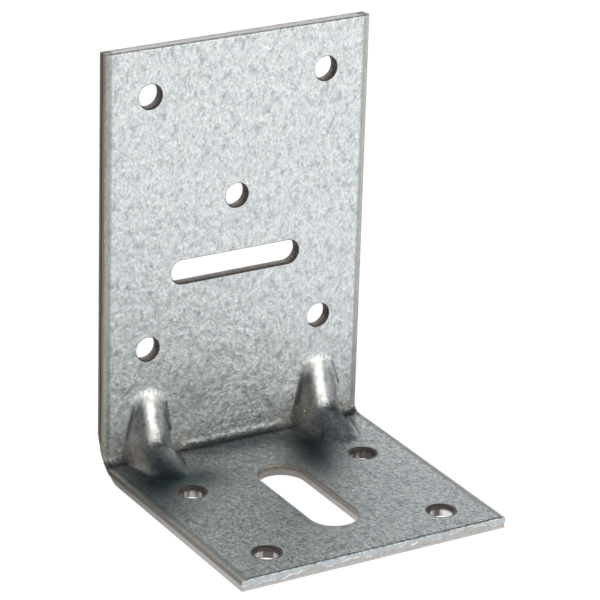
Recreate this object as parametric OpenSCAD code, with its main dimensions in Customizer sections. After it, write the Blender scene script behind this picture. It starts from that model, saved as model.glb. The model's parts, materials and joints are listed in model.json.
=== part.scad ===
// Angle bracket, folded from one strip of galvanised steel sheet.
// The fold runs along X. The upright leg stands on +Y and the foot leg reaches toward -Y.
// The origin is on the floor, under the middle of the bracket's outline.

/* [Sheet] */
// Width of the bracket, along the fold
width = 60; // [54:1:90]
// Height of the upright leg, from the floor
upright_h = 90; // [86:1:140]
// Length of the foot leg, from the back face
foot_l = 60; // [57:1:100]
// Thickness of the sheet
sheet_t = 2.5; // [2:0.1:3]
// Inner radius of the fold
fold_r = 1.5; // [1:0.1:3]

/* [Sheared edges] */
// Width of the rolled shoulder along the side edges
shoulder_w = 1.4; // [0.8:0.1:2]
// Drop of that shoulder at the edge itself
shoulder_drop = 0.3; // [0.15:0.05:0.3]
// Radius of the small roll along both end edges
end_roll_r = 0.4; // [0.35:0.05:0.6]
// Radius of the outline that the side faces follow round the heel
heel_outline_r = 9.5; // [7:0.5:12]
// How far each side edge is drawn in at the middle of the heel
heel_draw_in = 1.5; // [0.5:0.1:2]

/* [Holes] */
// Diameter of the round screw holes
hole_d = 5; // [3:0.5:6]
// Distance from each side edge to the column of holes beside it
column_margin = 10; // [7:0.5:12]
// Height of the lower pair in the upright leg
upright_row_z = 26; // [24:0.5:34]
// Distance from the top edge to the upper pair
top_margin = 10; // [7:0.5:12]
// Height of the single hole on the centre line
centre_hole_z = 56; // [52:1:66]
// Distance from the back face to the first pair in the foot leg
foot_row_y = 22; // [21:0.5:24]
// Distance from the free edge of the foot leg to the second pair
front_margin = 8; // [6:0.5:10]

/* [Slots] */
// Width of the slot in the upright leg
upright_slot_w = 5; // [4:0.5:8]
// Length of that slot, across the leg
upright_slot_l = 29.5; // [20:0.5:32]
// Height of that slot
upright_slot_z = 41.5; // [38:0.5:44]
// Width of the slot in the foot leg
foot_slot_w = 10; // [6:0.5:12]
// Length of that slot, along the leg
foot_slot_l = 30; // [20:0.5:32]
// Distance from the back face to the middle of that slot
foot_slot_y = 33.5; // [32:0.5:36]

/* [Ribs] */
// Distance from each side edge to the middle of the rib beside it
rib_margin = 10; // [9:0.5:14]
// Outer radius of the round rib
rib_r = 5.6; // [5:0.1:6.5]
// Thickness left in the stretched sheet of the rib
rib_wall = 2.1; // [1.6:0.1:2.4]
// Height on the leg at which the rib runs out
rib_reach = 16; // [14:0.5:17]
// Angle between the rib's crest and the leg
rib_slope = 21.5; // [18:0.5:26]
// How much fuller the knee of a rib is than its ramps
knee_swell = 0.05; // [0.05:0.05:0.4]

/* [Hidden] */
$fn = 96;
over = 1;
heel_r = fold_r + sheet_t;
shoulder_r = (pow(shoulder_w, 2) + pow(shoulder_drop, 2)) / (2 * shoulder_drop);
// Distance of the heel outline's centre from both outer faces, so that the outline crosses them at an angle
heel_centre = heel_outline_r * cos(6);
// How far the middle of the heel lies outside that outline
heel_gap = sqrt(2) * (heel_centre - heel_r) + heel_r - heel_outline_r;
// How far the sharp corner of the two outer faces would lie outside it
corner_gap = sqrt(2) * heel_centre - heel_outline_r;
// How fast the draw-in grows with distance from the outline
draw_rate = heel_draw_in / heel_gap;
// Length of a rib's axis from the knee to the point where its crest meets the leg
rib_run = (rib_reach - sheet_t + rib_r * (cos(rib_slope) - sin(rib_slope))) / (cos(rib_slope) + sin(rib_slope));
// Both axes of a rib meet this far from each outer face
rib_knee = rib_reach - rib_r * sin(rib_slope) - rib_run * cos(rib_slope);
// The ramps go on past the leg, so that the hollow opens through the back
ramp_l = 2 * rib_run;

// One end of the sheet's section: the corner that the rolled shoulder takes away
module shoulder_waste() {
    translate([width / 2 - shoulder_w, sheet_t - shoulder_r])
    difference() {
        square([shoulder_w + over, shoulder_r + over]);
        circle(r = shoulder_r);
    }
}

// Section across the sheet, from its outer face at 0 to its inner face at sheet_t
module sheet_section() {
    difference() {
        translate([-width / 2, 0])
        square([width, sheet_t]);
        shoulder_waste();
        mirror([1, 0])
        shoulder_waste();
    }
}

// The plain folded sheet, its heel corner on the X axis
module folded_sheet() {
    translate([0, 0, heel_r])
    linear_extrude(height = upright_h - heel_r)
    mirror([0, 1])
    sheet_section();
    translate([0, -heel_r, 0])
    rotate([90, 0, 0])
    linear_extrude(height = foot_l - heel_r)
    sheet_section();
    translate([0, -heel_r, heel_r])
    rotate([0, 90, 0])
    rotate_extrude(angle = 90)
    translate([heel_r, 0])
    rotate(90)
    sheet_section();
}

// Side view of everything on the inner side of the sheet, from this depth under its outer face
module inner_side_view(depth) {
    translate([-foot_l, depth])
    square([foot_l - heel_r, upright_h]);
    translate([-foot_l, heel_r])
    square([foot_l - depth, upright_h]);
    translate([-heel_r, heel_r])
    circle(r = heel_r - depth);
}

// Two ramps of one round section, up the upright leg and out along the foot leg, and a ball at their knee
module rib_form(r) {
    translate([0, -rib_knee, rib_knee]) {
        sphere(r = r + knee_swell);
        rotate([-rib_slope, 0, 0])
        cylinder(h = ramp_l, r = r);
        rotate([90 + rib_slope, 0, 0])
        cylinder(h = ramp_l, r = r);
    }
}

// What a rib adds on the inner side of the sheet
module rib_bulge() {
    intersection() {
        rib_form(rib_r);
        rotate([90, 0, 90])
        linear_extrude(height = 3 * rib_r, center = true)
        inner_side_view(sheet_t / 2);
    }
}

// A bar along the width that takes the upper front corner off, less the round that the roll leaves
module end_roll_waste() {
    rotate([90, 0, 90])
    linear_extrude(height = width + 2 * over, center = true)
    mirror([1, 0])
    difference() {
        square(end_roll_r + over);
        circle(r = end_roll_r);
    }
}

// The wedge that is missing at one side of the heel, where the fold draws the edge in
module heel_waste() {
    depth = corner_gap * draw_rate;
    translate([width / 2 - depth, -heel_centre, heel_centre])
    rotate([0, 90, 0])
    difference() {
        cube([heel_centre + over, heel_centre + over, depth + over]);
        cylinder(
            h = depth + over,
            r1 = heel_outline_r + corner_gap,
            r2 = heel_outline_r - over / draw_rate
        );
    }
}

// A slot with round ends, drawn along X and centred
module slot_shape(length, slot_w) {
    square([length - slot_w, slot_w], center = true);
    for (end = [-1, 1])
        translate([end * (length - slot_w) / 2, 0])
        circle(d = slot_w);
}

// All openings of the upright leg, drawn flat: X across and Y up
module upright_openings() {
    for (side = [-1, 1], z = [upright_row_z, upright_h - top_margin])
        translate([side * (width / 2 - column_margin), z])
        circle(d = hole_d);
    translate([0, centre_hole_z])
    circle(d = hole_d);
    translate([0, upright_slot_z])
    slot_shape(upright_slot_l, upright_slot_w);
}

// All openings of the foot leg, drawn flat: X across and Y away from the back face
module foot_openings() {
    for (side = [-1, 1], y = [foot_row_y, foot_l - front_margin])
        translate([side * (width / 2 - column_margin), y])
        circle(d = hole_d);
    translate([0, foot_slot_y])
    rotate(90)
    slot_shape(foot_slot_l, foot_slot_w);
}

// The finished bracket, its heel corner on the X axis
module pressed_sheet() {
    difference() {
        union() {
            folded_sheet();
            for (side = [-1, 1])
                translate([side * (width / 2 - rib_margin), 0, 0])
                rib_bulge();
        }
        for (side = [-1, 1])
            translate([side * (width / 2 - rib_margin), 0, 0])
            rib_form(rib_r - rib_wall);
        translate([0, over, 0])
        rotate([90, 0, 0])
        linear_extrude(height = sheet_t + 2 * over)
        upright_openings();
        translate([0, 0, -over])
        linear_extrude(height = sheet_t + 2 * over)
        mirror([0, 1])
        foot_openings();
        translate([0, -sheet_t + end_roll_r, upright_h - end_roll_r])
        end_roll_waste();
        translate([0, -foot_l + end_roll_r, sheet_t - end_roll_r])
        end_roll_waste();
        heel_waste();
        mirror([1, 0, 0])
        heel_waste();
    }
}

module bracket() {
    color("#a7adb0")
    translate([0, foot_l / 2, 0])
    pressed_sheet();
}

bracket();
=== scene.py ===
# %% [markdown]
# # A galvanised angle bracket
# The real object is one strip of zinc-coated steel. It is sheared to length, punched, pressed across the
# corner to raise two hollow ribs, and folded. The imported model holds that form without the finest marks.
# This lesson makes it again as one finer mesh, with the marks of each tool on it: the rolled rim of a
# punched hole, the two zones of a sheared edge, and the soft foot of a pressed rib. The frame comes
# first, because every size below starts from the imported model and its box.

# %% Load the frame
import json
import math
import bpy
import numpy as np
from mathutils import Matrix, Vector, noise


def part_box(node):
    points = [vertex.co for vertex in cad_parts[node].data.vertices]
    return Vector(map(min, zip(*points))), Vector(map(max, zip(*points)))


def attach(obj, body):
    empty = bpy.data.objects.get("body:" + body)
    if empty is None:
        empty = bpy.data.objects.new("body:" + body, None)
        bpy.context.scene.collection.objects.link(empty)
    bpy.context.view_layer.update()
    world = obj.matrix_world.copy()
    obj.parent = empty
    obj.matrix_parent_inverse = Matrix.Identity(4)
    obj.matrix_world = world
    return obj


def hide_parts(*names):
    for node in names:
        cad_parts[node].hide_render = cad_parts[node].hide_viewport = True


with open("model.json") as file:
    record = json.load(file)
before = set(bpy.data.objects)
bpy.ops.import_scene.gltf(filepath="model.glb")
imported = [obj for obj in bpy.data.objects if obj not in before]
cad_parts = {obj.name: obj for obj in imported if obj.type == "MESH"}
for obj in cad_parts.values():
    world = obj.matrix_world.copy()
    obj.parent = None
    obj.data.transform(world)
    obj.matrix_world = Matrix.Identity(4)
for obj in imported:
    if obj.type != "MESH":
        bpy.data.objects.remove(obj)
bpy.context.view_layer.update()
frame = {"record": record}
MM = 0.001

# %% [markdown]
# The bracket is 60 mm wide, with legs of 90 and 60 mm. These sizes could be typed in, but the packed
# model already states them: its box gives the width and both legs, and its mounts give the holes. Only
# the few sizes that no mount states are named here, once and in millimetres.

# %% Sizes of the bracket
LOW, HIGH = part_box("bracket")
WIDTH = HIGH.x - LOW.x
UPRIGHT = HIGH.z - LOW.z
FOOT = HIGH.y - LOW.y
BACK_Y = HIGH.y
mounts = {mount["name"]: mount for mount in frame["record"]["mounts"]}
HOLE_R = mounts["upright_corner_holes"]["dims"]["hole_r_mm"] * MM
SHEET = 2.5 * MM
FOLD_R = 1.5 * MM
HEEL_R = SHEET + FOLD_R
print(f"bracket {WIDTH / MM:.1f} x {FOOT / MM:.1f} x {UPRIGHT / MM:.1f} mm, sheet {SHEET / MM:.1f} mm")

# %% [markdown]
# The camera stands where the photographer stood. Such a view can be matched by eye, but here it was
# worked out from the bracket's straight edges and the rims of its holes. A long lens from far away keeps
# the two legs almost free of perspective.

# %% Camera
CAMERA_AZIMUTH = math.radians(-31.047)
CAMERA_ELEVATION = math.radians(22.676)
CAMERA_ROLL = math.radians(1.736)
CAMERA_DISTANCE = 672.8 * MM
CAMERA_AIM = Vector((4.59, 9.33, 39.05)) * MM
LENS_MM = 201.93
SENSOR_MM = 36.0
FAR_CLIP = 20


def place_camera():
    back = Vector((
        math.sin(CAMERA_AZIMUTH) * math.cos(CAMERA_ELEVATION),
        -math.cos(CAMERA_AZIMUTH) * math.cos(CAMERA_ELEVATION),
        math.sin(CAMERA_ELEVATION),
    ))
    right = (-back).cross(Vector((0, 0, 1))).normalized()
    up = back.cross(right)
    rolled_right = right * math.cos(CAMERA_ROLL) + up * math.sin(CAMERA_ROLL)
    rolled_up = up * math.cos(CAMERA_ROLL) - right * math.sin(CAMERA_ROLL)
    data = bpy.data.cameras.new("camera")
    data.lens = LENS_MM
    data.sensor_width = SENSOR_MM
    data.clip_end = FAR_CLIP
    camera = bpy.data.objects.new("camera", data)
    turn = Matrix((rolled_right, rolled_up, back)).transposed()
    camera.matrix_world = Matrix.Translation(CAMERA_AIM + back * CAMERA_DISTANCE) @ turn.to_4x4()
    bpy.context.scene.collection.objects.link(camera)
    bpy.context.scene.camera = camera
    return camera


print("camera at", [round(v, 4) for v in place_camera().location])

# %% [markdown]
# The strip could be a flat sheet with a Solidify modifier. Folding and pressing are easier to follow on a
# block of thin layers: stations along the strip, lines across it and layers through its thickness. Each
# point gets its place by a rule, and the block's skin becomes the mesh. Stations and lines lie close
# together where the form bends.

# %% Stations, lines and layers
EDGE_BAND = 1.8 * MM
EDGE_STEP = 0.18 * MM
END_BAND = 0.5 * MM
END_STEP = 0.1 * MM
RIB_X = 20 * MM
RIB_ZONE = 8.5 * MM
RIB_END = 21 * MM
FLAT_STEP = 1.0 * MM
FINE_STEP = 0.3 * MM
BEND_STEPS = 12
LAYERS = np.linspace(0, 1, 9)


def spaced(*stretches):
    """Positions along one direction, from stretches that each have a start, an end and a step."""
    parts = []
    for start, end, step in stretches:
        count = max(1, round(abs(end - start) / step))
        parts.append(np.linspace(start, end, count, endpoint=False))
    return np.append(np.concatenate(parts), stretches[-1][1])


half_lines = spaced(
    (0, RIB_X - RIB_ZONE, FLAT_STEP),
    (RIB_X - RIB_ZONE, WIDTH / 2 - EDGE_BAND, FINE_STEP),
    (WIDTH / 2 - EDGE_BAND, WIDTH / 2, EDGE_STEP),
)
LINES = np.concatenate([-half_lines[:0:-1], half_lines])
upright_stations = spaced(
    (UPRIGHT, UPRIGHT - END_BAND, END_STEP),
    (UPRIGHT - END_BAND, RIB_END, FLAT_STEP),
    (RIB_END, HEEL_R, FINE_STEP),
)
foot_stations = -spaced(
    (HEEL_R, RIB_END, FINE_STEP),
    (RIB_END, FOOT - END_BAND, FLAT_STEP),
    (FOOT - END_BAND, FOOT, END_STEP),
)
bend_angles = np.linspace(0, math.pi / 2, BEND_STEPS + 1)[1:-1]
print(f"{len(LINES)} lines, {len(upright_stations) + len(bend_angles) + len(foot_stations)} stations")

# %% [markdown]
# Seen from the side, the folded sheet is two straight legs and a quarter bend. It could be drawn as a
# curve and given a thickness, but the ribs need both faces. So each station holds its point on the inner
# face and its point on the outer one. From here on, y counts from the back face and z from the floor.

# %% Side view of the plain sheet
def side_view():
    inner, outer = [], []
    for z in upright_stations:
        inner.append((-SHEET, z))
        outer.append((0, z))
    for angle in bend_angles:
        c, s = math.cos(angle), math.sin(angle)
        inner.append((-HEEL_R + FOLD_R * c, HEEL_R - FOLD_R * s))
        outer.append((-HEEL_R + HEEL_R * c, HEEL_R - HEEL_R * s))
    for y in foot_stations:
        inner.append((y, SHEET))
        outer.append((y, 0))
    return np.array(inner), np.array(outer)


INNER, OUTER = side_view()
THROUGH = (INNER - OUTER) / SHEET
print(f"side view of {len(INNER)} points on each face")

# %% [markdown]
# A rib is where a punch has pushed the sheet inward across the fold. It could be modelled point by point,
# but it has a simple rule: two round bars lean against the legs and meet in a knee, and the sheet is
# stretched over them. A distance field says this directly. Each bar ends in a ball, which gives the rib
# its blunt tip, and a smooth minimum rounds the knee.

# %% The bars of a rib
RIB_SLOPE = math.radians(19)
KNEE = 1.91 * MM
BAR_LENGTH = 11.2 * MM
KNEE_ROUND = 1.4 * MM


def smooth_minimum(a, b, width):
    mix = np.clip(0.5 + 0.5 * (b - a) / width, 0, 1)
    return b + (a - b) * mix - width * mix * (1 - mix)


def distance_to_bar(x, y, z, direction):
    """Distance to the axis of the bar that runs from the knee in this direction of the side view."""
    along = np.clip((y + KNEE) * direction[0] + (z - KNEE) * direction[1], 0, BAR_LENGTH)
    dy = y + KNEE - along * direction[0]
    dz = z - KNEE - along * direction[1]
    return np.sqrt(x * x + dy * dy + dz * dz)


def distance_to_bars(x, y, z):
    s, c = math.sin(RIB_SLOPE), math.cos(RIB_SLOPE)
    from_rib = np.abs(x) - RIB_X
    up_the_wall = distance_to_bar(from_rib, y, z, (s, c))
    along_the_foot = distance_to_bar(from_rib, y, z, (-c, -s))
    return smooth_minimum(up_the_wall, along_the_foot, KNEE_ROUND)


print(f"from the fold's inner corner to the bars: {distance_to_bars(RIB_X, -SHEET, SHEET) / MM:.2f} mm")

# %% [markdown]
# Pressed sheet has a soft fillet where a rib rises out of the flat. A Bevel modifier would need clean
# edges. A smooth minimum needs none: it joins the field of the bars to that of the folded sheet, and its
# width is the width of the fillet, tight along the sides of a rib and wider at its tips. Behind, the
# hollow is the same form, smaller by the rib's wall.

# %% Front and back of the pressed form
RIB_R = 5.6 * MM
RIB_WALL = 2.1 * MM
FILLET_SIDE = 0.35 * MM
FILLET_TIP = 1.1 * MM
TIP_START = 10.5 * MM
TIP_LENGTH = 5 * MM
MOUTH_ROUND = 1.2 * MM


def smooth_step(t):
    t = np.clip(t, 0, 1)
    return t * t * (3 - 2 * t)


def above_inner_face(y, z):
    a, b = -SHEET - y, z - SHEET
    corner = FOLD_R - np.hypot(np.maximum(FOLD_R - a, 0), np.maximum(FOLD_R - b, 0))
    return np.where(np.minimum(a, b) >= FOLD_R, np.minimum(a, b), corner)


def inside_outer_face(y, z):
    return HEEL_R - np.hypot(np.maximum(HEEL_R + y, 0), np.maximum(HEEL_R - z, 0))


def outside_front(x, y, z):
    tip = smooth_step((np.maximum(-y, z) - TIP_START) / TIP_LENGTH)
    fillet = FILLET_SIDE + (FILLET_TIP - FILLET_SIDE) * tip
    return smooth_minimum(above_inner_face(y, z), distance_to_bars(x, y, z) - RIB_R, fillet)


def outside_back(x, y, z):
    hollow = RIB_R - RIB_WALL - distance_to_bars(x, y, z)
    return -smooth_minimum(inside_outer_face(y, z), -hollow, MOUTH_ROUND)


print(f"rib {2 * RIB_R / MM:.1f} mm thick, hollow {2 * (RIB_R - RIB_WALL) / MM:.1f} mm wide")

# %% [markdown]
# The press moves metal and adds none. A Boolean union would leave a seam, so each point slides instead,
# along a ray from a point behind the heel, until the field of its own face is zero. The front face starts
# far out and comes in, and the back face starts on the sheet and goes out.

# %% Slide each face onto the pressed form
PRESS_POINT = np.array((6, -6)) * MM
RAY_REACH = 11 * MM
RAY_STEPS = 90
STEP_SHARE = 0.7
STILL = 1e-6


def slide(points, field, start, sign):
    """Returns y and z for every station and line."""
    x = np.broadcast_to(LINES, (len(points), len(LINES)))
    ray = points - PRESS_POINT
    ray = ray / np.linalg.norm(ray, axis=1)[:, None]
    travel = np.full(x.shape, start)
    for _ in range(RAY_STEPS):
        y = points[:, :1] + ray[:, :1] * travel
        z = points[:, 1:] + ray[:, 1:] * travel
        travel = np.clip(travel + sign * STEP_SHARE * field(x, y, z), 0, RAY_REACH)
    y = points[:, :1] + ray[:, :1] * travel
    z = points[:, 1:] + ray[:, 1:] * travel
    in_reach = np.abs(points).max(axis=1)[:, None] < RIB_END
    near = (np.abs(np.abs(x) - RIB_X) < RIB_ZONE) & (travel > STILL) & in_reach
    return np.where(near, y, points[:, :1]), np.where(near, z, points[:, 1:])


front_y, front_z = slide(INNER, outside_front, RAY_REACH, -1)
back_y, back_z = slide(OUTER, outside_back, 0.0, 1)
print(f"rib stands {(front_z - INNER[:, 1:]).max() / MM:.2f} mm above the foot's inner face")

# %% [markdown]
# Before a blade cuts, it drags the face down with it. This roll is wide along the two long edges and
# narrow at the two ends. A Bevel modifier makes a full round, while this roll is a shallow arc that meets
# the cut at an angle, so each point near an edge drops by that arc's own formula.

# %% Rolled edges
SHOULDER_W = 1.4 * MM
SHOULDER_DROP = 0.3 * MM
END_ROLL = 0.4 * MM
END_DROP = 0.98 * END_ROLL


def rolled(distance, width, drop):
    """How far a rolled face has dropped at this distance from the edge."""
    radius = (width * width + drop * drop) / (2 * drop)
    into = np.clip(width - distance, 0, width)
    return radius - np.sqrt(radius * radius - into * into)


side_drop = rolled(WIDTH / 2 - np.abs(LINES), SHOULDER_W, SHOULDER_DROP)[None, :]
from_end = np.minimum(UPRIGHT - INNER[:, 1], FOOT + INNER[:, 0])
end_drop = rolled(from_end, END_ROLL, END_DROP)[:, None]
drop = np.maximum(side_drop, end_drop)
front_y = front_y - THROUGH[:, :1] * drop
front_z = front_z - THROUGH[:, 1:] * drop
print(f"edges drop by up to {drop.max() / MM:.2f} mm")

# %% [markdown]
# Where the strip is folded, its outer face is stretched along the bend and shrinks across it, so both
# side edges are drawn in at the heel. This could be sculpted by hand, but a rule repeats exactly: the
# pull grows with the distance outside a round outline, and fades away from the edge.

# %% Draw-in at the heel
HEEL_OUTLINE_R = 9.5 * MM
HEEL_CROSSING = math.radians(6)
HEEL_CENTRE = HEEL_OUTLINE_R * math.cos(HEEL_CROSSING)
HEEL_DRAW_IN = 1.5 * MM
DRAW_RATE = HEEL_DRAW_IN / (math.sqrt(2) * (HEEL_CENTRE - HEEL_R) + HEEL_R - HEEL_OUTLINE_R)
DRAW_WIDTH = 7 * MM


def drawn_in(x, y, z):
    """How far a point moves toward the middle of the width."""
    outside = np.hypot(y + HEEL_CENTRE, z - HEEL_CENTRE) - HEEL_OUTLINE_R
    in_corner = (y > -HEEL_CENTRE) & (z < HEEL_CENTRE)
    pull = smooth_step((np.abs(x) - WIDTH / 2 + DRAW_WIDTH) / DRAW_WIDTH)
    return pull * np.where(in_corner, DRAW_RATE * np.maximum(outside, 0), 0)


heel_turn = HEEL_R * (1 - math.sqrt(0.5))
print(f"heel drawn in by {drawn_in(WIDTH / 2, -heel_turn, heel_turn) / MM:.2f} mm")

# %% [markdown]
# The cut face below the roll has two zones. The blade first slides through and leaves a smooth band. Then
# the rest tears off, and leaves a rough, slightly recessed band with a fine burr at the far side. This
# could be left to a bump, but the layers can carry it, so the relief is real geometry.

# %% The torn band
BREAK_START = 0.5
BREAK_BLEND = 0.15
BURR_START = 0.9
BREAK_DEPTH = 0.10 * MM
BREAK_WANDER = 0.12
WANDER_SIZE = 5 * MM
GRAIN_SIZE = 0.9 * MM
GRAIN_PART = 0.6
BURR_PART = 0.7
WANDER_SEED = 3.7
GRAIN_SEED = 11.3


def grain(x, y, z, size, seed):
    """Smooth noise from -1 to 1 at points of the block."""
    shape = np.broadcast(x, y, z).shape
    flat = [np.broadcast_to(v, shape).ravel() / size for v in (x, y, z)]
    values = [noise.noise(Vector((a + seed, b, c))) for a, b, c in zip(*flat)]
    return np.array(values).reshape(shape)


def torn(x, y, z):
    """How far the cut face lies back from the edge on each layer, from the inner face to the outer one."""
    layer = LAYERS[None, :]
    wander = BREAK_WANDER * grain(x, y, z, WANDER_SIZE, WANDER_SEED)
    zone = smooth_step((layer - BREAK_START - wander) / BREAK_BLEND)
    burr = smooth_step((layer - BURR_START) / (1 - BURR_START))
    rough = 1 + GRAIN_PART * grain(x, y, z, GRAIN_SIZE, GRAIN_SEED)
    return BREAK_DEPTH * zone * rough * (1 - BURR_PART * burr)


print(f"torn band from {BREAK_START * SHEET / MM:.2f} mm under the inner face")

# %% [markdown]
# Now the block gets all its points. Between the two faces the layers are spread evenly, then the heel is
# drawn in, and last the four cut faces get their torn band. Only here does y change from the distance to
# the back face to the frame's own y.

# %% Points of the block
def block_points():
    """Places of all points, indexed by station, line and layer."""
    layer = LAYERS[None, None, :]
    y = front_y[:, :, None] * (1 - layer) + back_y[:, :, None] * layer
    z = front_z[:, :, None] * (1 - layer) + back_z[:, :, None] * layer
    x = np.broadcast_to(LINES[None, :, None], y.shape).copy()
    x -= np.sign(x) * drawn_in(x, y, z)
    for end in (0, -1):
        x[:, end] -= np.sign(x[:, end]) * torn(x[:, end], y[:, end], z[:, end])
    z[0] -= torn(x[0], y[0], z[0])
    y[-1] += torn(x[-1], y[-1], z[-1])
    return np.stack([x, y + BACK_Y, z], axis=-1)


block = block_points()
print("block of", " x ".join(str(n) for n in block.shape[:3]), "points")

# %% [markdown]
# Only the skin of the block becomes faces. Six separate grids would need a merge by distance. Here they
# share the numbers of their border points instead, so that the mesh is closed from the start. The grids
# of the four cut sides are flagged, because they will be bare steel.

# %% The skin of the block
def block_skin(points):
    """Vertices, quads and a flag for each quad that is a cut face."""
    shape = points.shape[:3]
    sides = [(axis, end) for axis in range(3) for end in (0, -1)]
    on_skin = np.zeros(shape, bool)
    for axis, end in sides:
        on_skin[tuple(end if a == axis else slice(None) for a in range(3))] = True
    index = np.full(shape, -1)
    index[on_skin] = np.arange(on_skin.sum())
    quads, is_cut = [], []
    for axis, end in sides:
        grid = index[tuple(end if a == axis else slice(None) for a in range(3))]
        if (end == 0) == (axis == 1):
            grid = grid.T
        corners = (grid[:-1, :-1], grid[1:, :-1], grid[1:, 1:], grid[:-1, 1:])
        side = np.stack([corner.ravel() for corner in corners], axis=1)
        quads.append(side)
        is_cut.append(np.full(len(side), axis != 2))
    return points[on_skin], np.concatenate(quads), np.concatenate(is_cut)


vertices, quads, is_cut = block_skin(block)
print(f"skin of {len(vertices)} points and {len(quads)} quads")

# %% [markdown]
# The finishes are node trees built in the script. A tree could be drawn by hand in the editor, but a
# script can be read and repeated. One function turns a written colour into the linear values that Blender
# works with, and one adds a node with its settings and links. Where many nodes differ only in their
# numbers, they are written as the rows of a table, and a row may name the results of earlier rows.

# %% Helpers for node trees
MATH = ("ShaderNodeMath", "operation", (0, 1, 2))
RANGE = ("ShaderNodeMapRange", None, ("Value", "From Min", "From Max", "To Min", "To Max"))
NOISE = ("ShaderNodeTexNoise", None, ("Vector", "Scale", "Detail", "Roughness", "Distortion"))
MIX = ("ShaderNodeMix", "data_type", ("Factor", 6, 7))
BUMP = ("ShaderNodeBump", None, ("Height", "Strength", "Distance", "Normal"))


def linear(hex_colour):
    channels = [int(hex_colour[i:i + 2], 16) / 255 for i in (1, 3, 5)]
    return tuple(c / 12.92 if c <= 0.04045 else ((c + 0.055) / 1.055) ** 2.4 for c in channels) + (1.0,)


def add_node(tree, kind, inputs=(), **settings):
    """Adds a node. An input is a value, an output, or a node, which stands for its first output in use."""
    node = tree.nodes.new(kind)
    for name, value in settings.items():
        setattr(node, name, value)
    for name, value in dict(inputs).items():
        if isinstance(value, bpy.types.Node):
            value = next(socket for socket in value.outputs if socket.enabled)
        if isinstance(value, bpy.types.NodeSocket):
            tree.links.new(value, node.inputs[name])
        else:
            node.inputs[name].default_value = value
    return node


def add_rows(tree, known, table, rows):
    """Adds a node for each row: the table's setting if it has one, then inputs. Results go into known."""
    kind, setting, sockets = table
    for name, row in rows.items():
        chosen = {setting: row[0]} if setting else {}
        values = row[len(chosen):]
        inputs = [known[value] if isinstance(value, str) else value for value in values]
        known[name] = add_node(tree, kind, dict(zip(sockets, inputs)), **chosen)


def fill_ramp(ramp, stops):
    while len(ramp.elements) < len(stops):
        ramp.elements.new(0.5)
    for element, (place, colour) in zip(ramp.elements, stops):
        element.position = place
        element.color = linear(colour)


def new_material(name):
    material = bpy.data.materials.new(name)
    material.use_nodes = True
    material.node_tree.nodes.clear()
    return material, material.node_tree


print("mid grey is", round(linear("#808080")[0], 3), "in linear light")

# %% [markdown]
# The sheet is hot-dip galvanised steel: it went through molten zinc, which froze in small crystals. To
# the eye this is a soft grey metal, faintly blue, whose gloss changes over a few millimetres, with flecks
# of one to two millimetres and a fine grain. Noise on Object coordinates fits, because the zinc froze
# without any regard to the bracket's form. The photo's flecks lean a little, so their noise is turned and
# stretched. The real grain is too fine to show in the render, so it is drawn at 0.5 mm, and the specks of
# the foot, which is seen at a flat angle, at 0.8 mm.

# %% Zinc: patterns
PATCH = 5 * MM
FLECK = 1.6 * MM
GRAIN = 0.5 * MM
SPECK = 0.8 * MM
CRINKLE = 0.9 * MM
LEAN = (0.0, math.radians(-38), 0.0)
LEAN_SCALE = (1.0, 0.7, 0.7)
zinc, zinc_tree = new_material("hot_dip_galvanised_zinc")
place = add_node(zinc_tree, "ShaderNodeTexCoord").outputs["Object"]
zinc_axes = add_node(zinc_tree, "ShaderNodeSeparateXYZ", {"Vector": place})
on_zinc = dict(zinc_axes.outputs.items(), place=place)
on_zinc["leaning"] = add_node(zinc_tree, "ShaderNodeMapping", {
    "Vector": place, "Rotation": LEAN, "Scale": LEAN_SCALE,
})
add_rows(zinc_tree, on_zinc, NOISE, {
    "patch": ("place", 1 / PATCH, 4.0, 0.6, 0.4),
    "fleck": ("leaning", 1 / FLECK, 6.0, 0.75),
    "grain": ("leaning", 1 / GRAIN, 4.0, 0.8),
    "crinkle": ("place", 1 / CRINKLE, 3.0, 0.6, 1.0),
})
on_zinc["speck"] = add_node(zinc_tree, "ShaderNodeTexNoise", {
    "Vector": place, "Scale": 1 / SPECK, "Detail": 2.5, "Roughness": 0.65, "W": 4.0,
}, noise_dimensions="4D")
print("zinc patterns of", [round(size / MM, 1) for size in (PATCH, FLECK, SPECK, GRAIN)], "mm")

# %% [markdown]
# Zinc's own colour lies between a cool and a warm grey. Over it come a pale skin, grey pits in the
# flecks, and darker specks that show only on the foot. One big colour ramp could do this, but separate
# coats are easier to judge: each pair says how much of which colour covers the coats before it.

# %% Zinc: colour of the clean sheet
ZINC_COOL = linear("#adbcc5")
ZINC_WARM = linear("#cdcac3")
ZINC_LIGHT = linear("#eaf0f3")
ZINC_PIT = linear("#868e95")
ZINC_SPECK = linear("#6f7b84")
FOOT_TOP = 3 * MM
FOOT_FADE = 8 * MM
add_rows(zinc_tree, on_zinc, RANGE, {
    "warmth": ("speck", 0.34, 0.66),
    "clean": ("grain", 0.36, 0.62),
    "pit": ("fleck", 0.50, 0.74),
    "dark_speck": ("speck", 0.52, 0.40),
    "on_foot": ("Z", FOOT_TOP, FOOT_FADE, 0.5, 0.0),
})
add_rows(zinc_tree, on_zinc, MATH, {"foot_speck": ("MULTIPLY", "dark_speck", "on_foot")})
add_rows(zinc_tree, on_zinc, MIX, {"colour": ("RGBA", "warmth", ZINC_COOL, ZINC_WARM)})
zinc_coats = [("clean", ZINC_LIGHT), ("pit", ZINC_PIT), ("foot_speck", ZINC_SPECK)]
print(len(zinc_coats), "coats over bare zinc")
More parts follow.
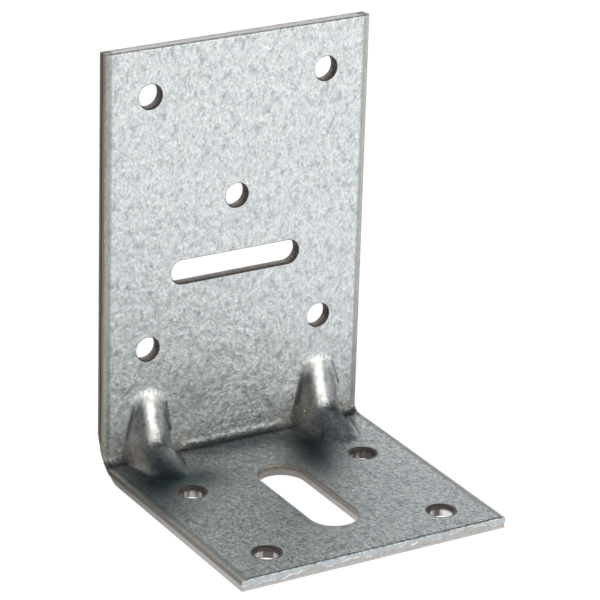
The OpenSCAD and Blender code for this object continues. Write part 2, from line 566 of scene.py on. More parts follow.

# %% [markdown]
# Other colours are tied to places on the bracket. Two narrow strips run along each long edge, a grey one
# inside and a pale warm one at the rim. The others are painted light: a dark brown band of painted shade
# just under the fold, fields of painted shade and painted dark reflections, thin lines of painted shade in
# small creases, and pale patches of painted highlight. Since these marks belong to places on the
# bracket, they come from attributes that later cells write on the mesh, and not from noise.

# %% Zinc: colour of edge strips, painted shade and painted highlights
ZINC_ROLLED = linear("#98a29f")
ZINC_RIM_STRIP = linear("#d2cabf")
# Dark brown of the painted shade just under the fold
PAINTED_FOLD_SHADE_TONE = linear("#4a4542")
# Colour of the painted shade and painted dark reflections on the foot and the upright leg
PAINTED_SHADE_TONE = linear("#46585f")
# Colour of the painted shade in small creases
PAINTED_CREASE_SHADE_TONE = linear("#35383b")
# Pale colour of the painted highlights on the ribs' flanks and beside the ribs
PAINTED_HIGHLIGHT_TONE = linear("#dad5cc")
FOLD_SHADE_PART = 0.75
for name in ("pressed", "crinkled", "edge_gap_mm", "fold_stain", "shade", "rubbed", "crease"):
    on_zinc[name] = add_node(zinc_tree, "ShaderNodeAttribute", attribute_name=name).outputs["Fac"]
add_rows(zinc_tree, on_zinc, RANGE, {
    "inner_strip": ("edge_gap_mm", 1.65, 1.25, 0.0, 0.75),
    "outer_strip": ("edge_gap_mm", 0.75, 0.55, 0.0, 0.8),
    "broken": ("fleck", 0.40, 0.56),
})
add_rows(zinc_tree, on_zinc, MATH, {
    "stain": ("MULTIPLY", "fold_stain", FOLD_SHADE_PART),
    "rubbed_patch": ("MULTIPLY", "rubbed", "broken"),
})
zinc_coats += [
    ("inner_strip", ZINC_ROLLED), ("outer_strip", ZINC_RIM_STRIP), ("stain", PAINTED_FOLD_SHADE_TONE), ("shade", PAINTED_SHADE_TONE),
    ("crease", PAINTED_CREASE_SHADE_TONE), ("rubbed_patch", PAINTED_HIGHLIGHT_TONE),
]
for cover, colour in zinc_coats:
    add_rows(zinc_tree, on_zinc, MIX, {"colour": ("RGBA", cover, "colour", colour)})
print(len(zinc_coats), "coats on the zinc")

# %% [markdown]
# The frozen zinc is slightly uneven, which breaks up every reflection. That relief is too small for the
# mesh, so bumps with real distances are the right tool. They follow the patterns of the colour. The press
# has flattened them on the ribs and crinkled the zinc beside the fold, and the foot gets more of the fine
# grain, again because it is seen at a flat angle.

# %% Zinc: relief
FLECK_RELIEF = 0.16 * MM
PATCH_RELIEF = 0.30 * MM
GRAIN_RELIEF = 0.14 * MM
CRINKLE_RELIEF = 0.8 * MM
add_rows(zinc_tree, on_zinc, RANGE, {
    "raw": ("pressed", 0.0, 1.0, 1.0, 0.22),
    "by_height": ("Z", FOOT_TOP, FOOT_FADE, 1.3, 0.45),
})
add_rows(zinc_tree, on_zinc, MATH, {"raw_grain": ("MULTIPLY", "raw", "by_height")})
zinc_relief = (
    ("fleck", "raw", FLECK_RELIEF), ("patch", "raw", PATCH_RELIEF), ("grain", "raw_grain", GRAIN_RELIEF),
    ("crinkle", "crinkled", CRINKLE_RELIEF),
)
on_zinc["normal"] = add_node(zinc_tree, "ShaderNodeNewGeometry").outputs["Normal"]
for layer in zinc_relief:
    add_rows(zinc_tree, on_zinc, BUMP, {"normal": (*layer, "normal")})
print(len(zinc_relief), "layers of relief")

# %% [markdown]
# Bare zinc is a metal all through, so Metallic is 1. Only the patches of painted highlight, which look dull
# and pale, are partly not metal. A roughness near 0.2 gives the soft reflections of the photo, and it
# changes with the crystals. Where the press has smeared them, the gloss is softer.

# %% Zinc: gloss
# Patches of painted highlight are only partly metal, so that their pale colour shows
PAINTED_HIGHLIGHT_METALLIC = 0.25
GLOSSY, DULL = 0.18, 0.27
PRESSED_DULL = 1.5
add_rows(zinc_tree, on_zinc, RANGE, {
    "metal": ("rubbed_patch", 0.0, 1.0, 1.0, PAINTED_HIGHLIGHT_METALLIC),
    "crystals": ("patch", 0.3, 0.7, GLOSSY, DULL),
    "smeared": ("pressed", 0.0, 1.0, 1.0, PRESSED_DULL),
})
add_rows(zinc_tree, on_zinc, MATH, {"roughness": ("MULTIPLY", "crystals", "smeared")})
zinc_surface = add_node(zinc_tree, "ShaderNodeBsdfPrincipled", {
    "Base Color": on_zinc["colour"], "Metallic": on_zinc["metal"], "Roughness": on_zinc["roughness"],
    "Normal": on_zinc["normal"],
})
add_node(zinc_tree, "ShaderNodeOutputMaterial", {"Surface": zinc_surface})
print(f"{zinc.name}: {len(zinc_tree.nodes)} nodes")

# %% [markdown]
# A sheared edge is bare steel, cut by a blade or a punch and not coated. Its look depends most of all on
# the depth above the outer face. An attribute could hold it, but only at the points of the mesh. So the
# tree works it out for every pixel, from the heel's round outline inward, which holds on both legs and
# round the bend. A few tests of the place then tell the edges apart.

# %% Cut steel: where a point lies
NEAR_END = 0.3 * MM
NEAR_FRONT = 0.25 * MM
steel, steel_tree = new_material("sheared_steel_edge")
place = add_node(steel_tree, "ShaderNodeTexCoord").outputs["Object"]
steel_axes = add_node(steel_tree, "ShaderNodeSeparateXYZ", {"Vector": place})
on_steel = dict(steel_axes.outputs.items(), place=place)
add_rows(steel_tree, on_steel, MATH, {
    "near_back": ("ADD", "Y", HEEL_R - BACK_Y),
    "over_back": ("MAXIMUM", "near_back", 0.0),
    "near_floor": ("SUBTRACT", HEEL_R, "Z"),
    "over_floor": ("MAXIMUM", "near_floor", 0.0),
})
way_out = add_node(steel_tree, "ShaderNodeCombineXYZ", {
    "X": on_steel["over_back"], "Y": on_steel["over_floor"],
})
on_steel["reach"] = add_node(steel_tree, "ShaderNodeVectorMath", {0: way_out}, operation="LENGTH")
add_rows(steel_tree, on_steel, MATH, {
    "depth": ("SUBTRACT", HEEL_R, "reach"),
    "upright": ("GREATER_THAN", "Z", HEEL_R),
    "foot": ("SUBTRACT", 1.0, "upright"),
    "front": ("LESS_THAN", "Y", LOW.y + NEAR_FRONT),
    "not_front": ("SUBTRACT", 1.0, "front"),
    "top": ("GREATER_THAN", "Z", HIGH.z - NEAR_END),
})
print(f"depth above the outer face, up to {SHEET / MM:.1f} mm")

# %% [markdown]
# From those tests come masks for the bores and the two long sides. A bore is any cut place well inside
# the bracket's outline. A material for each edge would do the same with more slots, but one tree keeps
# the metal the same everywhere.

# %% Cut steel: bores and sides
INSIDE_EDGE = 2 * MM
SLOT_REACH = 10 * MM
add_rows(steel_tree, on_steel, MATH, {
    "in_width": ("COMPARE", "X", 0.0, WIDTH / 2 - INSIDE_EDGE),
    "below_top": ("LESS_THAN", "Z", HIGH.z - INSIDE_EDGE),
    "off_ends": ("MULTIPLY", "below_top", "not_front"),
    "bore": ("MULTIPLY", "in_width", "off_ends"),
    "upright_bore": ("MULTIPLY", "bore", "upright"),
    "foot_bore": ("MULTIPLY", "bore", "foot"),
    "in_slot": ("COMPARE", "X", 0.0, SLOT_REACH),
    "at_side": ("SUBTRACT", 1.0, "in_width"),
    "side": ("MULTIPLY", "at_side", "not_front"),
    "foot_side": ("MULTIPLY", "side", "foot"),
})
print(f"bores lie more than {INSIDE_EDGE / MM:.0f} mm inside the outline")

# %% [markdown]
# The line between the smooth and the torn band is never straight. It could be drawn in the mesh, but
# noise added to the depth does it with one number. It wanders by a few tenths of a millimetre on most
# edges and by more on the front edge, where the photo shows waves, and it lies nearer to the inner face
# on the top edge. On the front edge zinc is smeared over the smooth band, and a thin painted highlight runs
# along the tear.

# %% Cut steel: the tear line
TEAR_LINE = 1.4 * MM
TEAR_SOFT = 0.1 * MM
WAVE = 4.5 * MM
WAVE_REACH = 0.7 * MM
FRONT_WAVE_REACH = 3.2 * MM
TOP_SHIFT = -0.7 * MM
SHINE_BELOW = 0.05 * MM
SHINE_REACH = 0.1 * MM
add_rows(steel_tree, on_steel, NOISE, {"wave": ("place", 1 / WAVE, 1.5)})
add_rows(steel_tree, on_steel, RANGE, {"wave_reach": ("front", 0.0, 1.0, WAVE_REACH, FRONT_WAVE_REACH)})
add_rows(steel_tree, on_steel, MATH, {
    "centred": ("ADD", "wave", -0.5),
    "waved": ("MULTIPLY_ADD", "centred", "wave_reach", "depth"),
    "shifted": ("MULTIPLY_ADD", "top", TOP_SHIFT, "waved"),
})
add_rows(steel_tree, on_steel, RANGE, {"smooth": ("shifted", TEAR_LINE - TEAR_SOFT, TEAR_LINE + TEAR_SOFT)})
add_rows(steel_tree, on_steel, MATH, {
    "smeared": ("MULTIPLY", "smooth", "front"),
    # Where the painted highlight along the front tear lies
    "on_line": ("COMPARE", "shifted", TEAR_LINE - SHINE_BELOW, SHINE_REACH),
    "front_line": ("MULTIPLY", "on_line", "front"),
})
print(f"tear line {TEAR_LINE / MM:.1f} mm above the outer face")

# %% [markdown]
# A blade and a punch scratch the steel along their stroke, straight through the sheet. So the place is
# squeezed to a tenth in that direction before the noise reads it, which draws the noise out into lines.
# The torn band has a granular break instead. Real scratches and grains are too fine to show, and are
# drawn at 0.5 and 0.35 mm. Broader streaks of painted highlight, 1.8 mm, lie in the round bores of the foot.

# %% Cut steel: patterns
SCORE = 0.5 * MM
BREAK = 0.35 * MM
GLEAM = 1.8 * MM
SQUEEZE = 0.1
add_rows(steel_tree, on_steel, RANGE, {
    "squeeze_y": ("upright", 0.0, 1.0, 1.0, SQUEEZE),
    "squeeze_z": ("upright", 0.0, 1.0, SQUEEZE, 1.0),
})
squeeze = add_node(steel_tree, "ShaderNodeCombineXYZ", {
    "X": 1.0, "Y": on_steel["squeeze_y"], "Z": on_steel["squeeze_z"],
})
on_steel["stroke"] = add_node(steel_tree, "ShaderNodeVectorMath", {
    0: place, 1: squeeze,
}, operation="MULTIPLY")
add_rows(steel_tree, on_steel, NOISE, {
    "score": ("stroke", 1 / SCORE, 3.0, 0.7),
    "grit": ("place", 1 / BREAK, 3.0, 0.7),
    # Pattern of the painted highlights in the foot's bores
    "gleam": ("stroke", 1 / GLEAM, 1.0),
})
add_rows(steel_tree, on_steel, RANGE, {
    "scored": ("score", 0.42, 0.66),
    "bright_grit": ("grit", 0.35, 0.65),
    "gleaming": ("gleam", 0.42, 0.60),
})
print("steel patterns of", [round(size / MM, 2) for size in (GLEAM, SCORE, BREAK)], "mm")

# %% [markdown]
# Each band has its own colour. The smooth band holds a brown film with paler scratches, the torn band is
# grey with grime in its grain, and smeared zinc is pale and cool. The long sides show several thin bands
# at once, and the dark one just below the tear line is painted shade of the tear's step. These could be
# coats too, but one colour ramp over the depth is shorter.

# %% Cut steel: tones
CUT_SMOOTH = linear("#4c4440")
CUT_SCORED = linear("#857b73")
CUT_GRIMY = linear("#77726e")
CUT_TORN = linear("#b4b2af")
CUT_SMEAR = linear("#b4bbc1")
CUT_BRIGHT = linear("#cdd4d9")
# Colour of the painted highlights on the cut steel
CUT_SHINE = linear("#f4f4f3")
FOOT_SIDE_LOW = linear("#c6c5c2")
FOOT_SIDE_HIGH = linear("#69635f")
# Bands over the depth of the long sides; the dark stops at 0.31 and 0.50 are painted shade below the tear
# line
SIDE_BANDS_AND_TEAR_SHADE = (
    (0.0, "#b5b2ae"), (0.24, "#a5a19d"), (0.31, "#453d38"), (0.50, "#524943"), (0.58, "#c2b6a8"),
    (0.72, "#ddd2c5"), (0.80, "#b1a99e"), (0.88, "#ddd5c9"), (1.0, "#d0c8bc"),
)
add_rows(steel_tree, on_steel, RANGE, {
    "under_rim": ("depth", 1.75 * MM, 1.35 * MM),
    "upper_half": ("depth", 1.05 * MM, 1.4 * MM),
    "rim": ("depth", 2.05 * MM, 2.3 * MM),
})
add_rows(steel_tree, on_steel, MATH, {
    "gleam_part": ("MULTIPLY", "gleaming", "under_rim"),
    "side_depth": ("DIVIDE", "waved", SHEET),
})
add_rows(steel_tree, on_steel, MIX, {
    "torn_tone": ("RGBA", "bright_grit", CUT_GRIMY, CUT_TORN),
    "smooth_tone": ("RGBA", "scored", CUT_SMOOTH, CUT_SCORED),
    "smear_tone": ("RGBA", "scored", CUT_SMEAR, CUT_BRIGHT),
    # Brown bore with painted highlights
    "bore_tone": ("RGBA", "gleam_part", CUT_SMOOTH, CUT_SHINE),
    "foot_tone": ("RGBA", "upper_half", FOOT_SIDE_LOW, FOOT_SIDE_HIGH),
})
on_steel["bands"] = add_node(steel_tree, "ShaderNodeValToRGB", {"Fac": on_steel["side_depth"]})
fill_ramp(on_steel["bands"].color_ramp, SIDE_BANDS_AND_TEAR_SHADE)
print(len(SIDE_BANDS_AND_TEAR_SHADE), "bands on the long sides")

# %% [markdown]
# The tones are laid over one another like the coats of the zinc, from the torn band upward. Some cover
# only a part of what lies below, and each light or dull row says how much. The bores of the upright leg
# get painted shade in the smooth band's brown, and the foot's bores and the front tear line get painted
# highlights. They were matched to the photo one edge at a time.

# %% Cut steel: colour
CUT_RIM = linear("#cfc7c0")
CUT_TOP = linear("#e2e1df")
BORE_LIGHT = 0.8
on_steel["beside_slot"] = add_node(steel_tree, "ShaderNodeMath", {
    0: BORE_LIGHT, 1: on_steel["in_slot"],
}, operation="SUBTRACT", use_clamp=True)
add_rows(steel_tree, on_steel, MATH, {
    "front_light": ("MULTIPLY", "front", 0.4),
    "top_light": ("MULTIPLY", "top", 0.7),
    # Painted shade: the upright leg's bores are darkened with the smooth band's brown
    "oil": ("MULTIPLY", "upright_bore", 0.8),
    "slot_light": ("MULTIPLY", "foot_bore", 0.3),
    # Painted highlights in the foot's round bores
    "bore_light": ("MULTIPLY", "foot_bore", "beside_slot"),
    "side_dull": ("MULTIPLY", "foot_side", 0.85),
    # Painted highlight along the front tear line
    "shine": ("MULTIPLY", "front_line", "gleaming"),
})
steel_coats = (
    ("front_light", CUT_TOP), ("smooth", "smooth_tone"), ("rim", CUT_RIM), ("top_light", CUT_TOP),
    ("side", "bands"), ("oil", "smooth_tone"), ("slot_light", CUT_RIM), ("bore_light", "bore_tone"),
    ("side_dull", "foot_tone"), ("smeared", "smear_tone"), ("shine", CUT_SHINE),
)
on_steel["colour"] = on_steel["torn_tone"]
for cover, colour in steel_coats:
    add_rows(steel_tree, on_steel, MIX, {"colour": ("RGBA", cover, "colour", colour)})
print(len(steel_coats), "coats on the cut steel")

# %% [markdown]
# Freshly cut steel is a plain metal of medium roughness. The film on the smooth band and the grime on the
# sides hide half of it, so Metallic drops to 0.5 there. Scratches and grains also catch the light, and
# two small bumps say so.

# %% Cut steel: surface
FILM_METALLIC = 0.5
TORN_ROUGH, SMOOTH_ROUGH = 0.34, 0.40
SCORE_RELIEF = 0.12 * MM
GRIT_RELIEF = 0.06 * MM
add_rows(steel_tree, on_steel, MATH, {
    "film": ("SUBTRACT", "smooth", "smeared"),
    "filmed": ("MAXIMUM", "film", "side"),
})
add_rows(steel_tree, on_steel, RANGE, {
    "metal": ("filmed", 0.0, 1.0, 1.0, FILM_METALLIC),
    "roughness": ("smooth", 0.0, 1.0, TORN_ROUGH, SMOOTH_ROUGH),
})
on_steel["normal"] = add_node(steel_tree, "ShaderNodeNewGeometry").outputs["Normal"]
for pattern, relief in (("score", SCORE_RELIEF), ("grit", GRIT_RELIEF)):
    add_rows(steel_tree, on_steel, BUMP, {"normal": (pattern, 1.0, relief, "normal")})
steel_surface = add_node(steel_tree, "ShaderNodeBsdfPrincipled", {
    "Base Color": on_steel["colour"], "Metallic": on_steel["metal"], "Roughness": on_steel["roughness"],
    "Normal": on_steel["normal"],
})
add_node(steel_tree, "ShaderNodeOutputMaterial", {"Surface": steel_surface})
FINISHES = (zinc, steel)
print(f"{steel.name}: {len(steel_tree.nodes)} nodes")

# %% [markdown]
# With both finishes at hand, the skin becomes an object: zinc on the two faces of the sheet, bare steel
# on its four cut sides. Painting the slots face by face would be slow. The flags that came with the quads
# are the slot numbers already.

# %% The sheet before punching
def mesh_object(name, points, faces, slots=None):
    mesh = bpy.data.meshes.new(name)
    mesh.from_pydata([tuple(p) for p in points], [], [tuple(int(i) for i in face) for face in faces])
    if slots is not None:
        for finish in FINISHES:
            mesh.materials.append(finish)
        mesh.polygons.foreach_set("material_index", np.asarray(slots, dtype=np.int32))
    mesh.update()
    piece = bpy.data.objects.new(name, mesh)
    bpy.context.scene.collection.objects.link(piece)
    return piece


sheet = mesh_object("bracket_sheet", vertices, quads, is_cut)
print(f"{sheet.name}: {int(is_cut.sum())} of {len(quads)} faces are cut steel")

# %% [markdown]
# A punch leaves a rolled rim where it enters, a smooth bore, and a slightly wider torn bore where it
# comes out. All holes were punched from the inner side. A plain cylinder with beveled ends would miss the
# curve of the roll, so one profile along the punch's axis holds all three: how much wider the opening is
# at each height above the outer face.

# %% The profile of a punch
ROLL_W = 0.22 * MM
ROLL_DEPTH = 0.35 * MM
ROLL_POWER = 2.2
TEAR_FLARE = 0.15 * MM
TEAR_HEIGHT = 1.25 * MM
OVERSHOOT = 0.6 * MM
PAST_END = 1.3
PUNCH_RINGS = 34


def punch_growth(level):
    roll = np.clip((level - SHEET + ROLL_DEPTH) / ROLL_DEPTH, 0, PAST_END)
    tear = np.clip((TEAR_HEIGHT - level) / TEAR_HEIGHT, 0, PAST_END)
    return ROLL_W * roll ** ROLL_POWER + TEAR_FLARE * tear


print("bore radius at the inner and outer face",
      [round((HOLE_R + punch_growth(level)) / MM, 2) for level in (SHEET, 0)], "mm")

# %% [markdown]
# The round holes repeat in patterns, and Geometry Nodes make what repeats. A list of typed-in places
# would also do, but a grid with a pitch says that its holes belong together. The tree has a named input
# for each size, and this cell makes them.

# %% Inputs of the punch tree
PUNCH_INPUTS = (
    ("Bore Radius", "NodeSocketFloat", HOLE_R), ("Sheet", "NodeSocketFloat", SHEET),
    ("Roll Width", "NodeSocketFloat", ROLL_W), ("Roll Depth", "NodeSocketFloat", ROLL_DEPTH),
    ("Tear Flare", "NodeSocketFloat", TEAR_FLARE), ("Tear Height", "NodeSocketFloat", TEAR_HEIGHT),
    ("Pitch Across", "NodeSocketFloat", 0.0), ("Pitch Along", "NodeSocketFloat", 0.0),
    ("Columns", "NodeSocketInt", 1), ("Rows", "NodeSocketInt", 1),
)
punch_tree = bpy.data.node_groups.new("punch_pattern", "GeometryNodeTree")
punch_tree.interface.new_socket("Geometry", in_out="OUTPUT", socket_type="NodeSocketGeometry")
punch_sockets = {}
for name, kind, value in PUNCH_INPUTS:
    socket = punch_tree.interface.new_socket(name, in_out="INPUT", socket_type=kind)
    socket.default_value = value
    punch_sockets[name] = socket.identifier
print("punch tree with", len(punch_sockets), "inputs")

# %% [markdown]
# Inside the tree, a straight line is the punch's axis. It is cut into rings, and each ring's radius
# follows the profile above, written here as nodes. A circle swept along the line with those radii is the
# solid punch. It is set on the points of a grid, and the tree ends by making the copies real and giving
# them the cut steel, because the change to a plain mesh drops instances.

# %% Punches as Geometry Nodes
PUNCH_SIDES = 64
in_punch = dict(add_node(punch_tree, "NodeGroupInput").outputs.items())
add_rows(punch_tree, in_punch, MATH, {
    "top": ("ADD", "Sheet", OVERSHOOT),
    "roll_start": ("SUBTRACT", "Sheet", "Roll Depth"),
})
end = add_node(punch_tree, "ShaderNodeCombineXYZ", {"Z": in_punch["top"]})
axis = add_node(punch_tree, "GeometryNodeCurvePrimitiveLine", {"Start": (0, 0, -OVERSHOOT), "End": end})
rings = add_node(punch_tree, "GeometryNodeResampleCurve", {"Curve": axis, "Count": PUNCH_RINGS})
ring_place = add_node(punch_tree, "GeometryNodeInputPosition")
level = add_node(punch_tree, "ShaderNodeSeparateXYZ", {"Vector": ring_place}).outputs["Z"]
zones = {"roll": (in_punch["roll_start"], in_punch["Sheet"]), "tear": (in_punch["Tear Height"], 0.0)}
for name, (start, stop) in zones.items():
    share = add_node(punch_tree, "ShaderNodeMapRange", {
        "Value": level, "From Min": start, "From Max": stop,
    }, clamp=False)
    in_punch[name] = add_node(punch_tree, "ShaderNodeClamp", {"Value": share, "Max": PAST_END})
add_rows(punch_tree, in_punch, MATH, {
    "roll_curve": ("POWER", "roll", ROLL_POWER),
    "rolled": ("MULTIPLY_ADD", "roll_curve", "Roll Width", "Bore Radius"),
    "radius": ("MULTIPLY_ADD", "tear", "Tear Flare", "rolled"),
})
ring = add_node(punch_tree, "GeometryNodeCurvePrimitiveCircle", {"Resolution": PUNCH_SIDES, "Radius": 1.0})
solid = add_node(punch_tree, "GeometryNodeCurveToMesh", {
    "Curve": rings, "Profile Curve": ring, "Scale": in_punch["radius"], "Fill Caps": True,
})
grid = add_node(punch_tree, "GeometryNodeMeshGrid", {
    "Size X": in_punch["Pitch Across"], "Size Y": in_punch["Pitch Along"],
    "Vertices X": in_punch["Columns"], "Vertices Y": in_punch["Rows"],
})
copies = add_node(punch_tree, "GeometryNodeInstanceOnPoints", {"Points": grid, "Instance": solid})
real = add_node(punch_tree, "GeometryNodeRealizeInstances", {"Geometry": copies})
bare = add_node(punch_tree, "GeometryNodeSetMaterial", {"Geometry": real, "Material": steel})
add_node(punch_tree, "NodeGroupOutput", {0: bare})
print(f"punch tree: {len(punch_tree.nodes)} nodes")

# %% [markdown]
# An object with this tree as its modifier is one set of punches. Its inputs are set by the identifier of
# each socket before it is first evaluated. The result then becomes a plain mesh, and takes the sheet's
# two slots with bare steel on all its faces, so that the slots still match after the cut.

# %% Round punches
def plain_mesh(piece):
    """Replaces an object's modifiers by their result."""
    evaluated = piece.evaluated_get(bpy.context.evaluated_depsgraph_get())
    result = bpy.data.meshes.new_from_object(evaluated)
    piece.modifiers.clear()
    piece.data = result


def steel_all_over(piece):
    piece.data.materials.clear()
    for finish in FINISHES:
        piece.data.materials.append(finish)
    slots = np.full(len(piece.data.polygons), FINISHES.index(steel), dtype=np.int32)
    piece.data.polygons.foreach_set("material_index", slots)


def round_punches(name, **sizes):
    piece = mesh_object(name, [], [])
    modifier = piece.modifiers.new("pattern", "NODES")
    modifier.node_group = punch_tree
    for socket, value in sizes.items():
        modifier[punch_sockets[socket.replace("_", " ").title()]] = value
    bpy.context.view_layer.update()
    plain_mesh(piece)
    steel_all_over(piece)
    return piece


centre_punch = round_punches("centre_punch")
print(f"one round punch has {len(centre_punch.data.polygons)} faces")

# %% [markdown]
# The two slots have the same profile round a longer outline: two half circles joined by straight sides.
# The tree above could sweep that outline too, but scaling it would lengthen a slot more than it widens
# it. So each ring is drawn at its own growth, and the rings are joined directly.

# %% Slot punches
UPRIGHT_SLOT = (29.5 * MM, 5 * MM)
FOOT_SLOT = (30 * MM, 10 * MM)
END_STEPS = 24


def stadium(length, width, growth):
    """Outline of a slot with round ends along X, widened by growth."""
    radius = width / 2 + growth
    half = (length - width) / 2
    turn = np.linspace(-math.pi / 2, math.pi / 2, END_STEPS)
    right = np.stack([half + radius * np.cos(turn), radius * np.sin(turn)], axis=1)
    return np.concatenate([right, -right])


def slot_punch(name, length, width):
    levels = np.linspace(-OVERSHOOT, SHEET + OVERSHOOT, PUNCH_RINGS)
    outlines = [stadium(length, width, punch_growth(level)) for level in levels]
    points = [(x, y, level) for outline, level in zip(outlines, levels) for x, y in outline]
    count = len(outlines[0])
    faces = [tuple(range(count))[::-1], tuple(range(len(points) - count, len(points)))]
    for r in range(PUNCH_RINGS - 1):
        for i in range(count):
            j = (i + 1) % count
            faces.append((r * count + i, r * count + j, (r + 1) * count + j, (r + 1) * count + i))
    piece = mesh_object(name, points, faces)
    steel_all_over(piece)
    return piece


upright_slot = slot_punch("upright_slot_punch", *UPRIGHT_SLOT)
foot_slot = slot_punch("foot_slot_punch", *FOOT_SLOT)
print("slot punches of", [len(piece.data.polygons) for piece in (upright_slot, foot_slot)], "faces")

# %% [markdown]
# Each punch still stands on the floor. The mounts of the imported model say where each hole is. A punch for
# the foot only moves there, and one for the upright leg is first tipped over, so that its entry side
# faces the front. The objects could be turned, but they stay at the origin here, and the turn goes into
# the mesh. The foot's holes have a wider roll than those of the upright leg, as in the photo.

# %% Set the punches in place
ONTO_FOOT = Matrix.Translation((0, BACK_Y, 0))
ONTO_UPRIGHT = ONTO_FOOT @ Matrix.Rotation(math.radians(90), 4, "X")
FOOT_ROLL_W = 0.65 * MM
FOOT_ROLL_DEPTH = 0.3 * MM


def pitch(mount_name):
    dims = mounts[mount_name]["dims"]
    return {"pitch_across": dims["spacing_x_mm"] * MM, "pitch_along": dims["spacing_y_mm"] * MM}


def set_punch(piece, mount_name, turn=0.0):
    place_on_leg = mounts[mount_name]["pos_m"]
    if mount_name.startswith("upright"):
        onto, along = ONTO_UPRIGHT, place_on_leg[2] - LOW.z
    else:
        onto, along = ONTO_FOOT, place_on_leg[1] - BACK_Y
    piece.data.transform(onto @ Matrix.Translation((0, along, 0)) @ Matrix.Rotation(turn, 4, "Z"))
    return piece


upright_holes = round_punches("upright_punches", columns=2, rows=2, **pitch("upright_corner_holes"))
foot_holes = round_punches("foot_punches", columns=2, rows=2, roll_width=FOOT_ROLL_W,
                           roll_depth=FOOT_ROLL_DEPTH, **pitch("foot_corner_holes"))
punches = [
    set_punch(upright_holes, "upright_corner_holes"),
    set_punch(centre_punch, "upright_centre_hole"),
    set_punch(upright_slot, "upright_slot"),
    set_punch(foot_holes, "foot_corner_holes"),
    set_punch(foot_slot, "foot_slot", math.pi / 2),
]
for punch in punches:
    print(punch.name, len(punch.data.polygons), "faces")

# %% [markdown]
# Now the press comes down. The punches are subtracted from the sheet with Boolean modifiers. The exact
# solver would also do, but the manifold solver is quick on closed meshes and keeps the slot of each face,
# so the new bores are bare steel.

# %% Punch the sheet
for punch in punches:
    cut = sheet.modifiers.new(punch.name, "BOOLEAN")
    cut.operation = "DIFFERENCE"
    cut.solver = "MANIFOLD"
    cut.object = punch
plain_mesh(sheet)
for punch in punches:
    bpy.data.objects.remove(punch)
print(f"punched sheet: {len(sheet.data.polygons)} faces")

# %% [markdown]
# The zinc asks how far the press has worked each place. This could be painted by hand, but the fields
# that shaped the ribs know it already: the metal is smoothed wherever it stands off the plain sheet, and
# in the hollows. Each point also notes its distance from the long edge, which places the two strips.

# %% Where the press has smoothed the zinc
LIFT_START = 0.05 * MM
LIFT_BLEND = 0.4 * MM
HOLLOW_RIM = 0.2 * MM
HOLLOW_DEPTH = 0.1 * MM
INNER_START = 1.2 * MM
INNER_BLEND = 0.8 * MM
spots = np.empty(len(sheet.data.vertices) * 3)
sheet.data.vertices.foreach_get("co", spots)
at_x, frame_y, at_z = spots.reshape(-1, 3).T
at_y = frame_y - BACK_Y
lifted = smooth_step((above_inner_face(at_y, at_z) - LIFT_START) / LIFT_BLEND)
at_depth = inside_outer_face(at_y, at_z)
hollow_edge = RIB_R - RIB_WALL + HOLLOW_RIM
in_hollow = (distance_to_bars(at_x, at_y, at_z) < hollow_edge) & (at_depth > HOLLOW_DEPTH)
inner_side = smooth_step((at_depth - INNER_START) / INNER_BLEND) * ~in_hollow
marks = {
    "pressed": np.maximum(lifted, in_hollow),
    "edge_gap_mm": (WIDTH / 2 - np.abs(at_x) - drawn_in(at_x, at_y, at_z)) / MM,
}
print(f"{np.mean(marks['pressed'] > 0.5):.0%} of the points are on the ribs")

# %% [markdown]
# The zinc is crinkled beside each rib at the fold, low on the ribs' flanks and at the bend of their
# crests, and a dark brown band of painted shade lies just under the fold. They could be painted as well,
# but soft fields round a place or a line need only a few sizes, which were read off the photo. They stay
# on the inner side, since nothing is known of the back.

# %% Crinkles and the painted shade in the fold
CRINKLE_X = 7.2 * MM
CRINKLE_RISE = 0.9 * MM
CRINKLE_SIZE = 2.0 * MM
FLANK_X = 4.3 * MM
FLANK_KNEE = 4.4 * MM
FLANK_WIDTH = 1.5 * MM
FLANK_SIZE = 3.0 * MM
CREST_KNEE = 5.5 * MM
CREST_SIZE = 2.2 * MM
CREST_PART = 0.6
FOLD_SHADE_OUT = 1.9 * MM
FOLD_SHADE_SIZE = 0.9 * MM
from_rib = np.abs(np.abs(at_x) - RIB_X)
fold_gap = np.hypot(at_y + SHEET + CRINKLE_RISE, at_z - SHEET - CRINKLE_RISE)
at_fold = np.exp(-((from_rib - CRINKLE_X) ** 2 + fold_gap ** 2) / CRINKLE_SIZE ** 2)
from_knee = np.hypot(-at_y - FLANK_KNEE, at_z - FLANK_KNEE)
at_flank = np.exp(-((from_rib - FLANK_X) ** 2 / FLANK_WIDTH ** 2 + from_knee ** 2 / FLANK_SIZE ** 2))
from_crest = np.hypot(np.hypot(-at_y - CREST_KNEE, at_z - CREST_KNEE), from_rib)
at_crest = CREST_PART * np.exp(-(from_crest / CREST_SIZE) ** 2)
below_fold = np.hypot(at_y + SHEET + FOLD_SHADE_OUT, at_z - SHEET)
marks["crinkled"] = inner_side * np.clip(at_fold + at_flank + at_crest, 0, 1)
# Painted shade in a band just under the fold
marks["fold_stain"] = inner_side * np.exp(-(below_fold / FOLD_SHADE_SIZE) ** 2)
print(f"{np.mean(marks['crinkled'] > 0.5):.0%} of the points are crinkled")

# %% [markdown]
# Some marks belong to single places. Painted shade and painted dark reflections darken the zinc on the
# foot round both ribs and under the fold, and in one spot on the upright leg. Painted highlights make it
# pale on one flank of each rib and beside them. A painted mask could show this. Each spot here is a place
# in millimetres in the frame, a size and a strength, and a few soft balls together make a field.

